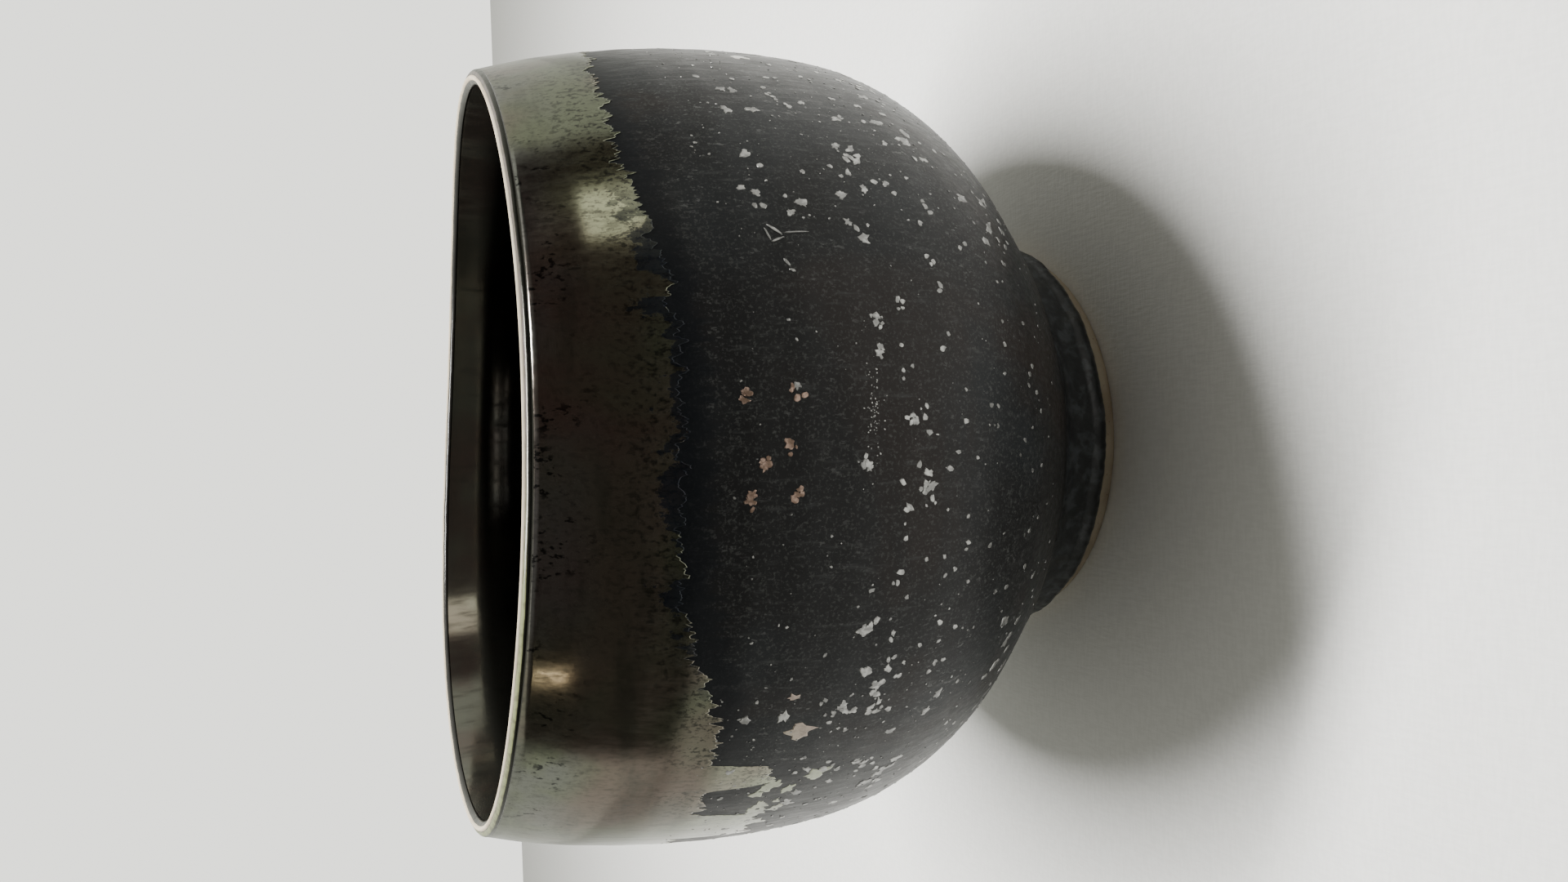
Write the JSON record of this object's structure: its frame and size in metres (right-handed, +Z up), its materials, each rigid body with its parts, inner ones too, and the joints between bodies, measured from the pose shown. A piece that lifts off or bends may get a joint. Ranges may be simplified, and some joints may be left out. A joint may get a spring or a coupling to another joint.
{
  "type": "tea bowl",
  "caption": "Round stoneware bowl on a turned foot ring, for whisking and drinking powdered tea, with a gloss lining and a lustrous dark glaze.",
  "frame": {"origin": "centre of the plane that the foot ring stands on", "axes": "+Z up through the mouth, -Y towards the side seen in the picture, +X to the right of that side"},
  "size_m": [0.12, 0.12, 0.0934],
  "materials": {
    "clay_vessel": "bare fired clay, slightly sandy",
    "foot_ring": "bare fired clay, slightly sandy",
    "lining_glaze": "opaque black gloss glaze",
    "satin_glaze": "opaque black satin glaze",
    "lustre_band": "opaque olive-black lustre glaze",
    "lip_glaze": "opaque pale olive glaze, thin over the edge",
    "foot_glaze": "opaque blue-black satin glaze in a thick roll",
    "copper_crystals": "dull coppery pink metallic crystals",
    "silver_crystals": "dull silver metallic crystals"
  },
  "bodies": {
    "root": {"clay_vessel": "clay_vessel", "foot_ring": "foot_ring", "lining_glaze": "lining_glaze", "satin_glaze": "satin_glaze", "lustre_band": "lustre_band", "lip_glaze": "lip_glaze", "foot_glaze": "foot_glaze", "copper_crystals": "copper_crystals", "silver_crystals": "silver_crystals"}
  },
  "joints": []
}
